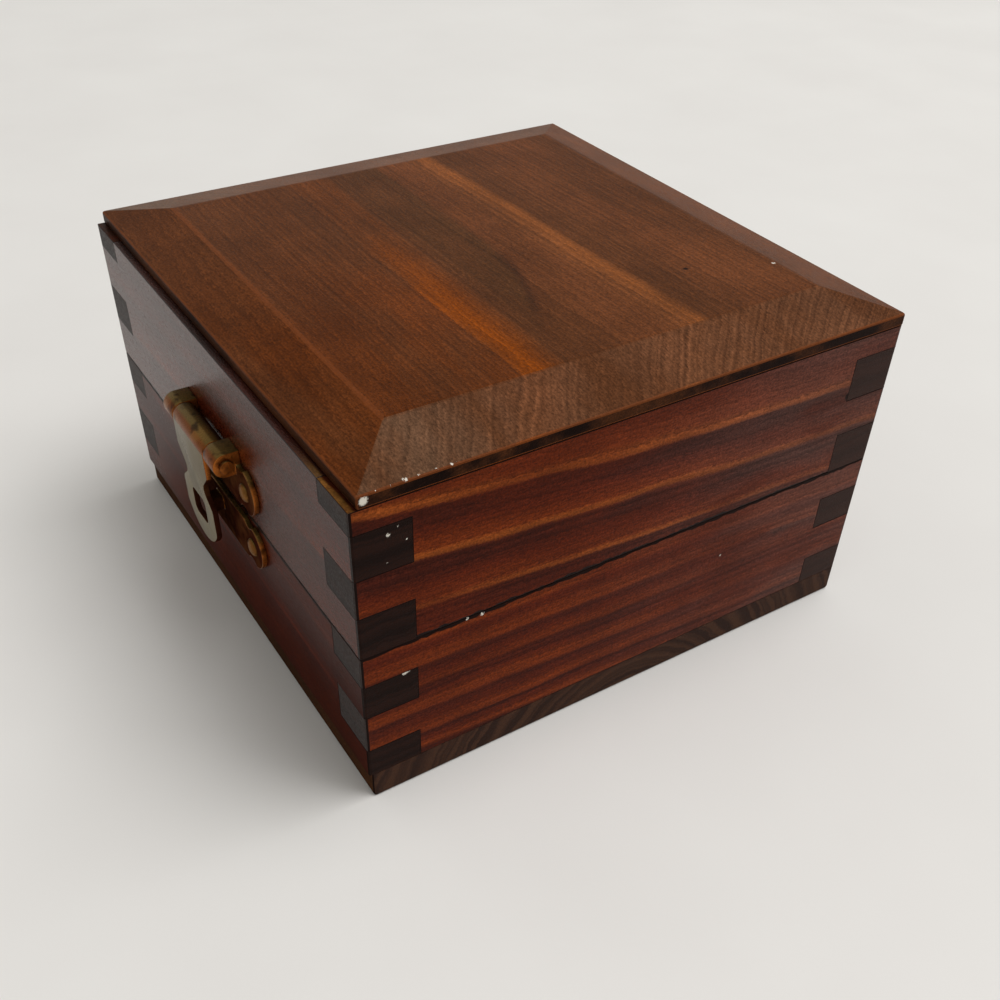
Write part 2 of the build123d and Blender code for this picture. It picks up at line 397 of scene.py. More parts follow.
class Finish:
    """A material being made. Apart from add and shade, a method gives back the sockets with its result."""

    def __init__(self, name):
        self.material = bpy.data.materials.new(name)
        self.material.use_nodes = True
        self.tree = self.material.node_tree
        self.shader = self.tree.nodes["Principled BSDF"]

    def add(self, kind, values, **settings):
        return add_node(self.tree, kind, values, **settings)

    def shade(self, **values):
        """Sets the shader's sockets, with each space in their names written as an underscore."""
        for key, value in values.items():
            feed(self.tree, self.shader.inputs[key.replace("_", " ")], value)

    def math(self, operation, first, second=0.0, clamp=False):
        node = self.add("ShaderNodeMath", {0: first, 1: second}, operation=operation, use_clamp=clamp)
        return node.outputs[0]

    def plus(self, first, second):
        return self.math("ADD", first, second)

    def minus(self, first, second):
        return self.math("SUBTRACT", first, second)

    def times(self, first, second):
        return self.math("MULTIPLY", first, second)

    def point(self):
        """Place on the object in millimetres: the vector, then x, y and z."""
        place = self.add("ShaderNodeTexCoord", {}).outputs["Object"]
        scaled = self.add("ShaderNodeVectorMath", {0: place, "Scale": 1 / MM}, operation="SCALE").outputs[0]
        return (scaled, *self.split(scaled))

    def facing(self):
        """Which way the surface looks, along x, y and z."""
        return self.split(self.add("ShaderNodeTexCoord", {}).outputs["Normal"])

    def split(self, vector):
        return tuple(self.add("ShaderNodeSeparateXYZ", {0: vector}).outputs)

    def stretch(self, vector, scale):
        return self.add("ShaderNodeVectorMath", {0: vector, 1: scale}, operation="MULTIPLY").outputs[0]

    def cloud(self, vector, scale, detail=2.0, roughness=0.5):
        """Noise in space."""
        values = {"Vector": vector, "Scale": scale, "Detail": detail, "Roughness": roughness}
        return self.add("ShaderNodeTexNoise", values).outputs[0]

    def lines(self, value, scale, detail):
        """Noise along one length."""
        values = {"W": value, "Scale": scale, "Detail": detail}
        return self.add("ShaderNodeTexNoise", values, noise_dimensions="1D").outputs[0]

    def step(self, value, low, high):
        """Nought at low, one at high, smooth between."""
        values = {"Value": value, "From Min": low, "From Max": high}
        return self.add("ShaderNodeMapRange", values, interpolation_type="SMOOTHSTEP").outputs[0]

    def swing(self, value, middle, reach):
        """A value round one half turned into one round middle, up to reach away."""
        return self.plus(self.times(self.minus(value, 0.5), 2 * reach), middle)

    def mix(self, share, first, second, blend="MIX"):
        values = {0: share, 6: first, 7: second}
        return self.add("ShaderNodeMix", values, data_type="RGBA", blend_type=blend).outputs[2]

    def tint(self, colour, mask, share, towards):
        """Colour moved towards another where the mask shows, by up to a share."""
        return self.mix(self.times(mask, share), colour, towards)

    def bands(self, value, stops):
        """Colour by a length: stops are (millimetres, tone) from low to high."""
        low, high = stops[0][0], stops[-1][0]
        share = self.math("DIVIDE", self.minus(value, low), high - low, clamp=True)
        ramp = self.add("ShaderNodeValToRGB", {0: share})
        elements = ramp.color_ramp.elements
        elements[0].color, elements[1].color = stops[0][1], stops[-1][1]
        for length, colour in stops[1:-1]:
            elements.new((length - low) / (high - low)).color = colour
        return ramp.outputs[0]

    def spot(self, vector, place, radius):
        """One at the heart of a round mark, nought outside its radius."""
        values = {0: vector, 1: place}
        distance = self.add("ShaderNodeVectorMath", values, operation="DISTANCE").outputs["Value"]
        return self.step(distance, radius, mark_core_share * radius)

    def bump(self, height, strength, distance):
        values = {"Height": height, "Strength": strength, "Distance": distance * MM}
        return self.add("ShaderNodeBump", values).outputs[0]


def on_right_face(marks):
    """Marks given as (y, z, radius), placed on the right boards' outer face."""
    return [((right_face, y, z), radius) for y, z, radius in marks]


def flecked(wood, colour, point, speckle, nicks, flecks):
    """Colour with dark nicks and pale flecks of chipped stain at their places, (place, radius) each."""
    ragged = wood.swing(speckle, 0, mark_raggedness)
    loose = wood.add("ShaderNodeVectorMath", {0: point, 1: ragged}, operation="ADD").outputs[0]
    for marks, mark_tone in ((nicks, soot_and_shade), (flecks, chalk)):
        for place, radius in marks:
            colour = wood.mix(wood.spot(loose, place, radius), colour, mark_tone)
    return colour


def grain_figure(wood, point, grain):
    """The patterns of sawn wood, from wide patches to pores, most of them drawn out along the grain."""
    long_grain, short_grain = (
        wood.stretch(point, (share, 1, 1) if grain == "X" else (1, share, 1))
        for share in (long_grain_stretch, short_grain_stretch)
    )
    return SimpleNamespace(
        waver=wood.cloud(short_grain, scale=0.13),
        patches=wood.cloud(short_grain, scale=0.1, detail=3.0, roughness=0.6),
        blotches=wood.cloud(point, scale=0.08, detail=3.0, roughness=0.55),
        fibres=wood.cloud(long_grain, scale=2.4, detail=6.0, roughness=0.75),
        dashes=wood.cloud(short_grain, scale=3.6, detail=4.0, roughness=0.7),
        speckle=wood.cloud(point, scale=2.6, detail=3.0, roughness=0.7),
        pores=wood.cloud(short_grain, scale=7.0, detail=1.0, roughness=0.5),
    )


def stained_wood(
    name, grain, growth, bands, ground, fibre=0.26, sheen=0.07, satin=0.36,
    edge_tone=soot_and_shade, nicks=(), flecks=(), field=None, matt_foot=0.0,
):
    """Varnished softwood: growth bands, fibres, speckle, pores, blotchy stain, worn edges and flecks."""
    wood = Finish(name)
    point, x, y, z = wood.point()
    figure = grain_figure(wood, point, grain)
    rings = wood.plus(growth(wood, x, y, z), wood.swing(figure.waver, 0, ring_waver))
    rings = wood.plus(rings, wood.swing(figure.dashes, 0, ring_jitter))
    colour = wood.bands(rings, bands)
    # A field may paint sheen, shade or highlight over the bands
    if field:
        colour = field(wood, colour, rings, x, y, z, figure.waver)
    colour = wood.tint(colour, wood.step(figure.patches, *patch_range), patch_share, ground)
    for strands, depth in (
        (figure.fibres, fibre),
        (figure.dashes, dash_gain * fibre),
        (figure.speckle, speckle_gain * fibre),
        (wood.lines(rings, scale=ring_line_scale, detail=4.0), fibre),
        (figure.blotches, blotch_depth),
    ):
        shading = wood.swing(wood.step(strands, *strand_range), 1.0, depth)
        colour = wood.mix(1.0, colour, shading, "MULTIPLY")
    colour = wood.tint(colour, wood.step(figure.pores, *pore_range), pore_share, soot_and_shade)

    worn = wood.add("ShaderNodeAttribute", {}, attribute_name="worn").outputs["Fac"]
    colour = wood.tint(colour, worn, wood.step(figure.dashes, *wear_range), edge_tone)
    colour = flecked(wood, colour, point, figure.speckle, nicks, flecks)

    relief = wood.plus(figure.fibres, wood.plus(figure.dashes, figure.speckle))
    dulling = wood.times(shaded_foot(wood, x, z), matt_foot)
    wood.shade(
        Base_Color=colour,
        Roughness=wood.plus(wood.swing(figure.dashes, satin, satin_swing), dulling),
        Specular_IOR_Level=sheen,
        Normal=wood.bump(relief, strength=0.3, distance=0.12),
    )
    return wood.material


def end_grain(name, growth, tones, sheen=0.05, flecks=(), washout=0.0):
    """Sawn ends, soaked dark with stain: the rings' arcs between two tones, open pores, a dull surface and,
    where given, a painted sheen that pales them towards the back.
    """
    wood = Finish(name)
    point, x, y, z = wood.point()
    waver = wood.cloud(point, scale=0.3, detail=3.0, roughness=0.6)
    speckle = wood.cloud(point, scale=2.8, detail=3.0, roughness=0.7)
    pores = wood.cloud(point, scale=6.0, detail=1.0, roughness=0.5)
    rings = wood.plus(growth(wood, x, y, z), wood.swing(waver, 0, end_ring_waver))
    arcs = wood.lines(rings, scale=1 / end_ring_pitch, detail=2.0)
    colour = wood.mix(wood.step(arcs, *end_arc_range), *tones)
    colour = wood.mix(1.0, colour, wood.swing(speckle, 1.0, end_speckle_depth), "MULTIPLY")
    colour = wood.tint(colour, wood.step(pores, *end_pore_range), end_pore_share, soot_and_shade)
    # Painted sheen: paler and greyer towards the back
    colour = wood.tint(colour, wood.step(y, *end_sheen_range), washout, sheen_veil)
    colour = flecked(wood, colour, point, speckle, (), flecks)
    wood.shade(
        Base_Color=colour,
        Roughness=wood.swing(speckle, end_roughness, end_roughness_swing),
        Specular_IOR_Level=sheen,
        Normal=wood.bump(wood.plus(speckle, pores), strength=0.7, distance=0.16),
    )
    return wood.material


# Growth of each board: how far into the tree's rings a place lies, in millimetres


def lid_side_growth(wood, x, y, z):
    """Bands that fall towards the back, steeper near the top."""
    depth = wood.minus(lid_high.z, z)
    run = wood.minus(y, lid_low.y)
    fall = wood.times(run, wood.minus(lid_side_fall, wood.times(run, lid_side_fall_easing)))
    steepness = wood.minus(lid_side_steepness, wood.times(depth, lid_side_levelling))
    return wood.minus(depth, wood.times(fall, steepness))


def base_side_growth(wood, x, y, z):
    """Thin bands, almost level."""
    depth = wood.minus(base_high.z, z)
    run = wood.minus(y, base_low.y)
    return wood.minus(depth, wood.times(run, base_side_fall))


def lid_long_growth(wood, x, y, z):
    """Bands that rise a little towards the right."""
    return wood.plus(wood.minus(lid_high.z, z), wood.times(x, lid_long_rise))


def base_long_growth(wood, x, y, z):
    """Bands that fall a little towards the right."""
    return wood.minus(wood.minus(base_high.z, z), wood.times(x, base_long_fall))


def panel_growth(wood, x, y, z):
    """Rings round a pith far below and behind, by their place on the field, so bands turn on the bevels."""
    side = wood.minus(panel_pith_back, y)
    drop = wood.times(wood.minus(panel_high.z, z), 2 * panel_pith_depth)
    square = wood.minus(wood.times(side, side), drop)
    level = wood.minus(panel_pith_back, wood.math("SQRT", wood.math("MAXIMUM", square, 0.0)))
    slant = wood.times(wood.step(level, *panel_slant_range), wood.times(x, panel_slant))
    return wood.plus(level, slant)


def bottom_growth(wood, x, y, z):
    """Rings round a pith under the middle of the bottom panel."""
    height = wood.plus(z, bottom_pith_depth)
    return wood.math("SQRT", wood.plus(wood.times(y, y), wood.times(height, height)))


# Bands of each board by its growth, as (millimetres, tone)
lid_side_bands = [
    (-12, plum), (-7, russet), (-3.4, rust), (-1.0, orange), (0.5, amber), (0.9, amber), (1.5, plum),
    (3.6, plum), (5.6, russet), (7.4, rust), (8.6, orange), (9.4, amber), (9.8, amber), (10.4, plum),
    (12.6, plum), (14.8, russet), (16.6, rust), (17.8, orange), (18.6, amber), (19.4, plum), (24, russet),
]
base_side_bands = [
    (-4, russet), (-1, rust), (0.1, orange), (1.0, russet), (2, russet), (3.6, rust), (5.0, orange),
    (5.8, plum), (7.4, russet), (8.4, rust), (9.3, rust), (10, plum), (12, russet), (13.4, orange),
    (14.5, orange), (15.3, plum), (17, russet), (18.4, rust), (19.4, orange), (20.2, plum), (21.4, russet),
    (23, orange), (23.8, plum), (26, russet),
]
lid_long_bands = [
    (-4, russet), (2, plum), (6, russet), (8, plum), (13, russet), (15, rust), (16, plum), (28, russet),
]
base_long_bands = [
    (-4, plum), (3, russet), (5, plum), (10, plum), (12, russet), (13, plum), (20, russet), (28, plum),
]
panel_bands = [
    (-50, mahogany), (-39.4, mahogany), (-38.8, cedar), (-38, mahogany), (-32, mahogany), (-24, cedar),
    (-17.2, cedar), (-16.6, marmalade), (-13.5, marmalade), (-9, walnut), (-4, walnut), (3, chestnut),
    (7.6, chestnut), (11, toffee), (13.1, honey), (13.9, honey), (15.2, walnut), (19, walnut),
    (26, chestnut), (34, chestnut), (40, walnut), (50, chestnut),
]
bottom_bands = [(14, umber), (22, russet), (26, umber), (33, russet), (36, umber), (44, russet), (52, umber)]


# Fields: what a board's colour takes on in some places, over its bands, painted sheen, shade and highlight
# among it


def panel_field(wood, colour, rings, x, y, z, waver):
    """The panel's dark tongue, its streak that fades out, the end bevels across the rings, and its dark rim.
    """
    run = wood.math("MAXIMUM", wood.plus(x, figure_root), 0.0)
    upper = wood.minus(figure_top, wood.times(wood.times(run, run), figure_curve))
    below = wood.plus(wood.minus(upper, rings), wood.swing(waver, 0, figure_waver))
    tongue = wood.times(wood.step(below, *figure_edge_range), wood.step(rings, *figure_foot_range))
    colour = wood.tint(colour, tongue, figure_share, umber)
    edge = wood.step(wood.math("ABSOLUTE", below), *crease_range)
    crease = wood.times(edge, wood.step(run, *crease_start_range))
    crease = wood.times(crease, wood.step(run, *crease_end_range))
    colour = wood.tint(colour, crease, crease_share, charcoal)
    washout = wood.times(wood.step(x, *streak_fade_range), wood.step(rings, *streak_ring_range))
    colour = wood.tint(colour, washout, streak_fade_share, walnut)

    across, _, upward = (wood.math("ABSOLUTE", way) for way in wood.facing())
    slope = wood.times(wood.step(across, *bevel_facing_range), wood.step(across, *bevel_limit_range))
    ripple = wood.lines(rings, scale=bevel_line_scale, detail=4.0)
    bevel = wood.mix(wood.step(ripple, *bevel_line_range), driftwood, bark)
    bevel = wood.tint(bevel, wood.step(y, *bevel_ash_range), bevel_ash_share, ash)
    colour = wood.tint(colour, slope, bevel_share, bevel)
    return wood.mix(wood.step(upward, *rim_facing_range), colour, soot_and_shade)


def ledge_light_field(wood, colour, rings, x, y, z, waver):
    """Painted shadow on the ledge that the top panel leaves free, and a painted golden highlight on its outer
    half by the right corner.
    """
    top = wood.step(z, lid_high.z - ledge_depth, lid_high.z)
    ledge = wood.times(wood.step(wood.facing()[2], *ledge_facing_range), top)
    edge = wood.plus(y, wood.swing(waver, 0, highlight_waver))
    outer = wood.step(edge, *(panel_low.y - reach for reach in highlight_reach_range))
    # Painted highlight on the ledge's outer half near the right corner, painted shadow on the rest of the
    # ledge
    shining = wood.times(outer, wood.step(x, *highlight_corner_range))
    return wood.tint(colour, ledge, ledge_share, wood.mix(shining, soot_and_shade, ledge_highlight))


def back_sheen_field(wood, colour, rings, x, y, z, waver):
    """Painted sheen: paler and greyer towards the back."""
    return wood.tint(colour, wood.step(y, *side_sheen_range), side_sheen_share, sheen_veil)


def lid_side_field(wood, colour, rings, x, y, z, waver):
    """Painted sheen towards the back, with painted shadow and highlight on the ledge."""
    colour = back_sheen_field(wood, colour, rings, x, y, z, waver)
    return ledge_light_field(wood, colour, rings, x, y, z, waver)


def shaded_foot(wood, x, z):
    """The lower part of the base towards its right end, where shade is painted and the finish is duller."""
    return wood.times(wood.step(z, *foot_height_range), wood.step(x, *foot_run_range))


def foot_shade_field(wood, colour, rings, x, y, z, waver):
    """Painted shade on the lower part of the base."""
    return wood.tint(colour, shaded_foot(wood, x, z), foot_shade_share, soot_and_shade)


def bottom_shade_field(wood, colour, rings, x, y, z, waver):
    """Painted shade along the bottom panel's front edge."""
    front = wood.step(wood.facing()[1], *bottom_front_range)
    return wood.tint(colour, front, foot_shade_share, soot_and_shade)


def antique_brass(name, side_tone, top_reflection_tone, end_reflection_tone, patch_tone, grime_share, metal=1.0, back_shade_share=0.0):
    """Antiqued brass, patchy: one tone on its sides, painted reflections in other tones on top and on its
    ends, grime, and painted shade on faces turned back to the box.
    """
    brass = Finish(name)
    point = brass.point()[0]
    patches = brass.cloud(point, scale=0.16, detail=2.0, roughness=0.5)
    grime = brass.cloud(point, scale=0.45, detail=3.0, roughness=0.6)
    across, backward, upward = brass.facing()
    forward = brass.times(backward, -1.0)
    # Painted reflections: upward faces not turned to the front take the top tone, and faces turned sideways
    # take the end tone
    top_reflection = brass.times(brass.step(upward, *reflection_upward_range), brass.step(forward, *reflection_frontal_range))
    colour = brass.mix(top_reflection, side_tone, top_reflection_tone)
    colour = brass.tint(colour, brass.step(patches, *brass_patch_range), brass_patch_share, patch_tone)
    colour = brass.mix(brass.step(brass.math("ABSOLUTE", across), *end_reflection_range), colour, end_reflection_tone)
    grimy = brass.times(brass.step(grime, *brass_grime_range), grime_share)
    # Painted shade on faces that look back at the box, in the grime's dark tone
    back_shade = brass.times(brass.step(backward, *back_shade_range), back_shade_share)
    colour = brass.mix(brass.math("MAXIMUM", grimy, back_shade), colour, grime_and_shade)
    brass.shade(
        Base_Color=colour,
        Metallic=metal,
        Specular_IOR_Level=0.0,
        Roughness=brass.swing(grime, middle=0.28, reach=0.12),
        Normal=brass.bump(grime, strength=0.08, distance=0.03),
    )
    return brass.material


def table_reflection_brass(name):
    """The tongue's front: pale as a painted reflection of the table, and olive below the knuckle."""
    brass = Finish(name)
    point, _, _, z = brass.point()
    streaks = brass.cloud(brass.stretch(point, (1, 1, reflection_stretch)), scale=0.7, detail=3.0, roughness=0.6)
    colour = brass.mix(streaks, pewter, parchment)
    level = brass.plus(z, brass.swing(streaks, 0, reflection_waver))
    above = brass.step(level, *(hasp_level - drop for drop in reflection_fade_drops))
    colour = brass.tint(colour, above, reflection_fade_share, drab)
    brass.shade(
        Base_Color=colour,
        Metallic=0.8,
        Specular_IOR_Level=0.0,
        Roughness=brass.swing(streaks, middle=0.3, reach=0.1),
    )
    return brass.material


def dark_reflection_brass(name):
    """Brass painted dark red-brown and dull, standing in for the dark reflections and shade on the plates,
    with tan in places.
    """
    brass = Finish(name)
    point = brass.point()[0]
    patches = brass.cloud(point, scale=0.2, detail=3.0, roughness=0.6)
    grime = brass.cloud(point, scale=0.5, detail=3.0, roughness=0.6)
    colour = brass.tint(oxblood, brass.step(patches, *dark_brass_tan_range), dark_brass_tan_share, tan)
    colour = brass.tint(colour, brass.step(grime, *dark_brass_grime_range), dark_brass_grime_share, soot_and_shade)
    brass.shade(
        Base_Color=colour,
        Specular_IOR_Level=0.0,
        Roughness=brass.swing(grime, middle=0.5, reach=0.15),
        Normal=brass.bump(grime, strength=0.1, distance=0.03),
    )
    return brass.material


def add_object(name, mesh, material):
    """A new object in the scene, all of one material."""
    mesh.materials.clear()
    mesh.materials.append(material)
    piece = bpy.data.objects.new(name, mesh)
    bpy.context.scene.collection.objects.link(piece)
    return piece


def work_in(piece):
    """Makes what the piece's modifiers give its plain mesh, under the same name."""
    drawn = piece.data
    name = drawn.name
    evaluated = piece.evaluated_get(bpy.context.evaluated_depsgraph_get())
    finished = bpy.data.meshes.new_from_object(evaluated)
    piece.modifiers.clear()
    piece.data = finished
    bpy.data.meshes.remove(drawn)
    finished.name = name
    return finished


def settle(piece, body, node):
    """Ties a finished piece to the body it moves with, and hides the solid it stands for."""
    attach(piece, body)
    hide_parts(node)


def prism(outline, place, near, far):
    """A closed solid: the outline on two parallel faces, near and far, placed by a function."""
    solid = bmesh.new()
    loops = [
        [solid.verts.new(Vector(place(across, up, depth)) * MM) for across, up in outline]
        for depth in (near, far)
    ]
    for loop in loops:
        solid.faces.new(loop)
    for index in range(len(outline)):
        after = (index + 1) % len(outline)
        solid.faces.new((loops[0][index], loops[0][after], loops[1][after], loops[1][index]))
    bmesh.ops.recalc_face_normals(solid, faces=solid.faces)
    return solid


def rounded(name, solid, rounding, material):
    """The solid with each edge rounded by its own radius, and the rounds marked as worn."""
    weights = solid.edges.layers.float.new("bevel_weight_edge")
    for edge in solid.edges:
        middle = (edge.verts[0].co + edge.verts[1].co) / 2 / MM
        edge[weights] = rounding(edge, middle) / widest_round
    mesh = bpy.data.meshes.new(name)
    solid.to_mesh(mesh)
    solid.free()
    piece = add_object(name, mesh, material)
    # The rounds take a second slot, which tells them apart until they are marked
    mesh.materials.append(material)
    bevel = piece.modifiers.new("worn edges", "BEVEL")
    bevel.width = widest_round * MM
    bevel.segments = round_segments
    bevel.limit_method = "WEIGHT"
    bevel.use_clamp_overlap = False
    bevel.material = 1
    finished = work_in(piece)
    worn = finished.attributes.new("worn", "FLOAT", "FACE")
    for polygon in finished.polygons:
        worn.data[polygon.index].value = polygon.material_index
        polygon.material_index = 0
    finished.materials.pop(index=1)
    return piece


def finger_outline(half_length, lines, first_notch):
    """A board seen square on: every other course is notched at both ends."""
    side = []
    for course, (low, high) in enumerate(zip(lines, lines[1:])):
        reach = half_length - board_thickness if course % 2 == first_notch else half_length
        side += [(reach, low), (reach, high)]
    return side + [(-reach, level) for reach, level in reversed(side)]


def chipping(run, upward, axis):
    """How deep the seam is chipped at a place along it, as a share of the chips' height."""
    nicks = noise.noise(Vector((run * nick_pitch, nick_seed * upward, axis)))
    swells = noise.noise(Vector((run * swell_pitch, upward, swell_seed)))
    return max(0.0, chip_share + (nicks + swell_share * swells))


def chip_seam(piece, upward, axis):
    """Ragged seam edge: the outer rim of the round is moved away from the seam by an uneven amount."""
    outer = max(abs(vertex.co[axis]) for vertex in piece.data.vertices)
    for vertex in piece.data.vertices:
        height = vertex.co.z / MM - seam_level
        on_face = outer - abs(vertex.co[axis]) < tolerance * MM
        if on_face and abs(height) < 2 * seam_round:
            run = vertex.co[1 - axis] / MM
            vertex.co.z += upward * chip_height * chipping(run, upward, axis) * MM


def saw_ends(piece, grain_axis, sawn):
    """Gives the faces that cut across the grain the sawn finish."""
    piece.data.materials.append(sawn)
    for polygon in piece.data.polygons:
        if abs(polygon.normal[grain_axis]) > sawn_facing:
            polygon.material_index = 1


def finger_board(node, body, first_notch, joint_shares, material, sawn):
    """A finger-jointed board with sanded edges, standing for its plain solid."""
    low, high = corners(node)
    size = high - low
    lines = [low.z + share * size.z for share in (0, *joint_shares, 1)]
    axis = 0 if size.x < size.y else 1
    outward = 1 if low[axis] + high[axis] > 0 else -1
    outer, inner = (high[axis], low[axis]) if outward > 0 else (low[axis], high[axis])
    half_length = size[1 - axis] / 2

    def place(across, up, depth):
        return (depth, across, up) if axis == 0 else (across, depth, up)

    def on_seam(edge):
        return all(abs(vert.co.z / MM - seam_level) < tolerance for vert in edge.verts)

    def on_outside(edge):
        return all(abs(vert.co[axis] / MM - outer) < tolerance for vert in edge.verts)

    def rounding(edge, middle):
        at_corner = abs(abs(middle[1 - axis]) - half_length) < tolerance
        if on_outside(edge) and at_corner:
            return corner_round
        if on_outside(edge) and on_seam(edge):
            return seam_round
        return joint_round

    solid = prism(finger_outline(half_length, lines, first_notch), place, outer, inner)
    outer_seam = [edge for edge in solid.edges if on_seam(edge) and on_outside(edge)]
    long_seam = [edge for edge in outer_seam if edge.calc_length() > half_length * MM]
    bmesh.ops.subdivide_edges(solid, edges=long_seam, cuts=seam_pieces)
    piece = rounded(f"worn_{node}", solid, rounding, material)
    saw_ends(piece, 1 - axis, sawn)
    chip_seam(piece, 1 if body == "lid" else -1, axis)
    settle(piece, body, node)


def side_boards():
    """Left and right boards, notched in the first and third courses from below."""
    base_wood = stained_wood(
        "base side wood", "Y", base_side_growth, base_side_bands, russet, fibre=0.22, sheen=0.04,
        field=back_sheen_field, flecks=on_right_face(base_side_flecks),
    )
    lid_wood = stained_wood(
        "lid side wood", "Y", lid_side_growth, lid_side_bands, russet, fibre=0.22, sheen=0.04,
        field=lid_side_field, nicks=on_right_face(lid_side_nicks),
    )
    ends = end_grain("side board ends", base_side_growth, (soot_and_shade, charcoal), sheen=0.3)
    for side in ("left", "right"):
        finger_board(f"base_{side}_board", "base", 0, base_joint_shares, base_wood, ends)
        finger_board(f"lid_{side}_board", "lid", 0, lid_joint_shares, lid_wood, ends)


def long_boards():
    """Front and back boards, notched in the second and fourth courses from below."""
    base_wood = stained_wood(
        "base front and back wood", "X", base_long_growth, base_long_bands, plum, fibre=0.14, sheen=0.06,
        satin=0.3, field=foot_shade_field, matt_foot=0.6,
    )
    lid_wood = stained_wood(
        "lid front and back wood", "X", lid_long_growth, lid_long_bands, plum, fibre=0.14, sheen=0.22,
        satin=0.26, field=ledge_light_field,
    )
    base_ends = end_grain(
        "base front and back ends", base_long_growth, (soot_and_shade, charcoal), washout=end_sheen_share,
        flecks=on_right_face(base_end_flecks),
    )
    lid_ends = end_grain(
        "lid front and back ends", lid_long_growth, (soot_and_shade, charcoal), washout=end_sheen_share,
        flecks=on_right_face(lid_end_flecks),
    )
    for side in ("front", "back"):
        finger_board(f"base_{side}_board", "base", 1, base_joint_shares, base_wood, base_ends)
        finger_board(f"lid_{side}_board", "lid", 1, lid_joint_shares, lid_wood, lid_ends)


def rectangle(low, high):
    """The corners of a box, seen from above."""
    return [(low.x, low.y), (high.x, low.y), (high.x, high.y), (low.x, high.y)]


def bevelled_slab():
    """The top panel's form: a straight edge, and flat bevels up to its raised field."""
    inset = Vector((end_bevel_width, side_bevel_width, 0))
    levels = [
        (panel_low, panel_high, panel_low.z),
        (panel_low, panel_high, panel_low.z + panel_edge),
        (panel_low + inset, panel_high - inset, panel_high.z),
    ]
    solid = bmesh.new()
    loops = [
        [solid.verts.new(Vector((x, y, level)) * MM) for x, y in rectangle(low, high)]
        for low, high, level in levels
    ]
    for below, above in zip(loops, loops[1:]):
        for index in range(len(below)):
            after = (index + 1) % len(below)
            solid.faces.new((below[index], below[after], above[after], above[index]))
    solid.faces.new(loops[0])
    solid.faces.new(loops[-1])
    bmesh.ops.recalc_face_normals(solid, faces=solid.faces)
    return solid


def top_panel():
    """The bevelled top panel, worn along its foot and its front ridge, the ridge's pale line partly a painted
    highlight.
    """
    material = stained_wood(
        "top panel wood", "X", panel_growth, panel_bands, walnut, fibre=0.19, sheen=0.02,
        edge_tone=ridge, field=panel_field, nicks=panel_nicks, flecks=panel_flecks,
    )

    def rounding(edge, middle):
        heights = [vert.co.z / MM for vert in edge.verts]
        if max(heights) - min(heights) > panel_edge + hip_margin:
            return panel_foot_round / 2
        if abs(max(heights) - panel_high.z) < tolerance:
            return panel_field_round
        return panel_foot_round

    piece = rounded("worn_lid_panel", bevelled_slab(), rounding, material)
    worn = piece.data.attributes["worn"].data
    for polygon in piece.data.polygons:
        middle = polygon.center / MM
        wear = panel_foot_wear
        if middle.z > panel_low.z + panel_edge + panel_foot_round:
            on_ridge = middle.z > panel_high.z - panel_field_round
            at_front = middle.y < panel_low.y + side_bevel_width + panel_field_round
            wear = front_ridge_share if on_ridge and at_front else 0.0
        worn[polygon.index].value *= wear
    settle(piece, "lid", "lid_panel")


def bottom_board():
    """The flat panel under the base."""
    material = stained_wood(
        "bottom panel wood", "X", bottom_growth, bottom_bands, umber, sheen=0.02, satin=0.7,
        field=bottom_shade_field,
    )
    sawn = end_grain("bottom panel ends", bottom_growth, (loam, peat))
    low, high = corners("bottom_panel")
    solid = prism(rectangle(low, high), lambda x, y, level: (x, y, level), low.z, high.z)

    def rounding(edge, middle):
        return joint_round if abs(middle.z - high.z) < tolerance else corner_round

    piece = rounded("worn_bottom_panel", solid, rounding, material)
    saw_ends(piece, 0, sawn)
    settle(piece, "base", "bottom_panel")


# Where an outline is drawn: square on the front or back face, or as a section along it


def on_front(across, up, out):
    return (across, front_face - out, up)


def along_front(out, up, along):
    return (along, front_face - out, up)


def on_back(across, up, out):
    return (across, back_face + out, up)


def along_back(out, up, along):
    return (along, back_face + out, up)


def arc(centre, radius, start, end):
    """Points along an arc, with its angles in degrees."""
    turn = abs(end - start)
    steps = max(2, min(round(turn / arc_step), round(math.radians(turn) * radius / arc_shortest_piece)))
    angles = [math.radians(start + (end - start) * step / steps) for step in range(steps + 1)]
    return [(centre[0] + radius * math.cos(angle), centre[1] + radius * math.sin(angle)) for angle in angles]


def circle(centre, radius):
    """Points all the way round."""
    return arc(centre, radius, 0, 360)[:-1]


def filleted(corner_list):
    """A closed outline of (across, up, radius) corners, each rounded by its own radius."""
    outline = []
    for index, (across, up, radius) in enumerate(corner_list):
        if radius == 0:
            outline.append((across, up))
            continue
        corner = Vector((across, up))
        before = (Vector(corner_list[index - 1][:2]) - corner).normalized()
        after = (Vector(corner_list[(index + 1) % len(corner_list)][:2]) - corner).normalized()
        half = before.angle(after) / 2
        centre = corner + (before + after).normalized() * radius / math.sin(half)
        reach = radius / math.tan(half)
        first, last = (corner + way * reach - centre for way in (before, after))
        start = math.degrees(math.atan2(first.y, first.x))
        turn = (math.degrees(math.atan2(last.y, last.x)) - start + 180) % 360 - 180
        outline += arc(centre, radius, start, start + turn)
    return [
        place for index, place in enumerate(outline)
        if math.dist(place, outline[index - 1]) > shortest_edge
    ]


def block(width, height, middle, radius=0.0):
    """A rectangle with rounded corners, about a middle."""
    across, up = middle
    return filleted([
        (across + side * width / 2, up + end * height / 2, radius)
        for side, end in ((-1, -1), (1, -1), (1, 1), (-1, 1))
    ])


def blank(outline, place, near, far):
    """A plain solid, still to be shaped with others."""
    mesh = bpy.data.meshes.new("blank")
    solid = prism(outline, place, near, far)
    solid.to_mesh(mesh)
    solid.free()
    piece = bpy.data.objects.new("blank", mesh)
    bpy.context.scene.collection.objects.link(piece)
    return piece


